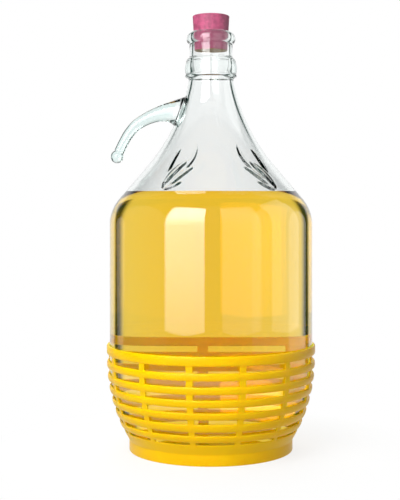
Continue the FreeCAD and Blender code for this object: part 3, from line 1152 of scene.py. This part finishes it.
def softbox(name, place, target, height, foot, top, reaches):
    """A soft light at a place that faces a target, as bright as foot at its lower edge and as top from
    halfway up."""
    light = bpy.data.lights.new(name, "AREA")
    light.shape = "RECTANGLE"
    light.size = SOFTBOX_WIDTH
    light.size_y = height
    light.energy = math.pi * SOFTBOX_WIDTH * height
    light.use_nodes = True
    tree = light.node_tree
    up = along_axes(tree, new_node(tree, "NewGeometry")["Parametric"])["Y"]
    feed(tree, tree.nodes["Emission"], {"Strength": spread(tree, up, foot, top, 0, 0.5)})
    lamp = bpy.data.objects.new(name, light)
    bpy.context.scene.collection.objects.link(lamp)
    lamp.location = place
    lamp.rotation_euler = (place - target).to_track_quat("Z", "Y").to_euler()
    lamp.visible_camera = False
    lamp.visible_diffuse, lamp.visible_glossy, lamp.visible_transmission = reaches


# Big round panels round the object: which way each lies, how many degrees it reaches from its middle to
# where it starts to fade and to where it is dark, how bright it is, and whether it is only seen through
# the glass, so that it leaves no reflection.
PANELS = (
    ((-0.026, 1.0, 0.0), 34, 41.5, 1.0, False),  # the backdrop
    ((0.0, 0.85, 0.52), 26, 34, 0.85, False),  # the top of the backdrop
    ((0.906, 0.423, 0.0), 18.5, 20, 0.9, False),  # the wall at the right
    ((-0.843, 0.537, 0.0), 9, 10.5, 0.6, False),  # the wall at the left
    ((0.0, -1.0, 0.0), 52, 60, 0.3, True),  # the front
    ((1.0, 0.0, 0.0), 42, 45, 0.7, True),  # the right side
    ((-1.0, 0.0, 0.0), 38, 41, 0.45, True),  # the left side
)
DIM = (0.008, 0.042, 0.032)  # between the panels, a dark green room


def studio_world():
    """Round white panels behind and beside the object in a dim room. The camera itself sees plain
    white past the object."""
    world = bpy.data.worlds.new("studio")
    bpy.context.scene.world = world
    world.use_nodes = True
    tree = world.node_tree
    path = new_node(tree, "LightPath")
    way_out = new_node(tree, "TexCoord")["Generated"]
    brightest = path["Is Camera Ray"]
    for way, full, dark, strength, only_through in PANELS:
        facing = vector(tree, "DOT_PRODUCT", "Value", way_out, Vector(way).normalized())
        limits = math.cos(math.radians(dark)), math.cos(math.radians(full))
        shown = spread(tree, facing, 0, strength, *limits, ramp="SMOOTHSTEP")
        if only_through:
            shown = number(tree, "MULTIPLY", shown, path["Is Transmission Ray"])
        brightest = number(tree, "MAXIMUM", shown, brightest)
    feed(tree, tree.nodes["Background"], {"Color": blend_colours(tree, brightest, DIM, (1, 1, 1))})


FLOOR_SIDES = 96
FLOOR_FADE = (0.08, 0.19)  # distances from the axis between which the paper starts to glow
PAPER = (0.92, 0.92, 0.92, 1)


def floor_finish():
    """White paper, that glows as bright as the backdrop away from the object."""
    material, tree, shader = new_material("white_floor")
    feed(tree, shader, {"Base Color": PAPER, "Roughness": 0.7})
    reach = vector(tree, "LENGTH", "Value", new_node(tree, "TexCoord")["Object"])
    away = spread(tree, reach, 0.8, 1, *FLOOR_FADE)
    strength = spread(tree, new_node(tree, "LightPath")["Is Diffuse Ray"], 1.0, 0.5, 0, 1)
    glow = new_node(tree, "Emission", {"Strength": strength})
    show(tree, away, shader.outputs["BSDF"], glow["Emission"])
    return material


class CARBOY_OT_stage(Operator):
    """Make the floor, the soft lights and the camera"""

    bl_idname = "carboy.stage"
    bl_label = "Stage"

    def execute(self, context):
        stage = context.scene.carboy.stage
        disc = Outline(0, 0).line(stage.floor, 0, 8)
        floor = new_piece("floor", *turned(disc.places, even_angles(FLOOR_SIDES)), floor_finish())
        middle = Vector((0, 0, (SOFTBOX_FOOT + SOFTBOX_HEAD) / 2))
        for name, degrees, foot, top, reaches in SOFTBOXES:
            turn = math.radians(degrees)
            place = middle + SOFTBOX_DISTANCE * Vector((math.sin(turn), -math.cos(turn), 0))
            softbox(name, place, middle, SOFTBOX_HEAD - SOFTBOX_FOOT, foot, top, reaches)
        above = OVERHEAD_STRENGTH
        softbox("overhead", OVERHEAD_PLACE, Vector(), SOFTBOX_WIDTH, above, above, (True, False, False))
        studio_world()
        camera = bpy.data.objects.new("camera", bpy.data.cameras.new("camera"))
        context.scene.collection.objects.link(camera)
        camera.location = (0, -stage.distance, stage.eye)
        camera.rotation_euler = (math.radians(90), 0, 0)
        camera.data.lens = stage.lens
        camera.data.sensor_width = 36
        camera.data.shift_x = stage.shift_x
        camera.data.shift_y = stage.shift_y
        camera.data.clip_start = 0.01
        context.scene.camera = camera
        context.scene.view_settings.view_transform = "Standard"
        return {"FINISHED"}


class CarboySettings(PropertyGroup):
    """All the settings of the carboy."""

    bottle: PointerProperty(type=BottleSizes, name="Bottle", description="Sizes of the glass")
    handle: PointerProperty(type=HandleSizes, name="Handle", description="Sizes of the hook")
    wine: PointerProperty(type=WineSizes, name="Wine", description="Sizes of the filling")
    stopper: PointerProperty(type=StopperSizes, name="Stopper", description="Sizes of the stopper")
    basket: PointerProperty(type=BasketSizes, name="Basket", description="Sizes of the basket")
    colours: PointerProperty(type=Colours, name="Colours", description="Colours of the finishes")
    stage: PointerProperty(type=StageSettings, name="Stage", description="Camera and floor")


class CARBOY_PT_panel(Panel):
    """The sizes, the colours and the steps of the carboy"""

    bl_idname = "CARBOY_PT_panel"
    bl_label = "Glass carboy"
    bl_space_type = "VIEW_3D"
    bl_region_type = "UI"
    bl_category = "Carboy"

    def draw(self, context):
        for step in STEPS:
            self.layout.operator(step.bl_idname)
        settings = context.scene.carboy
        for group_name in ("bottle", "handle", "wine", "stopper", "basket", "colours", "stage"):
            box = self.layout.box()
            box.label(text=group_name.capitalize())
            group = getattr(settings, group_name)
            for name in group.__annotations__:
                box.prop(group, name)


STEPS = (CARBOY_OT_stage, CARBOY_OT_basket, CARBOY_OT_bottle, CARBOY_OT_wine, CARBOY_OT_stopper)
GROUPS = (
    BottleSizes,
    HandleSizes,
    WineSizes,
    StopperSizes,
    BasketSizes,
    Colours,
    StageSettings,
    CarboySettings,
)
CLASSES = (*GROUPS, *STEPS, CARBOY_PT_panel)


def register():
    """Adds the classes and the scene's settings."""
    for item in CLASSES:
        bpy.utils.register_class(item)
    bpy.types.Scene.carboy = PointerProperty(type=CarboySettings)


def unregister():
    """Removes the classes and the scene's settings."""
    del bpy.types.Scene.carboy
    for item in reversed(CLASSES):
        bpy.utils.unregister_class(item)


def main():
    """Makes the whole scene."""
    register()
    bpy.ops.carboy.stage()
    bpy.ops.carboy.basket()
    bpy.ops.carboy.bottle()
    bpy.ops.carboy.wine()
    bpy.ops.carboy.stopper()


if __name__ == "__main__":
    main()
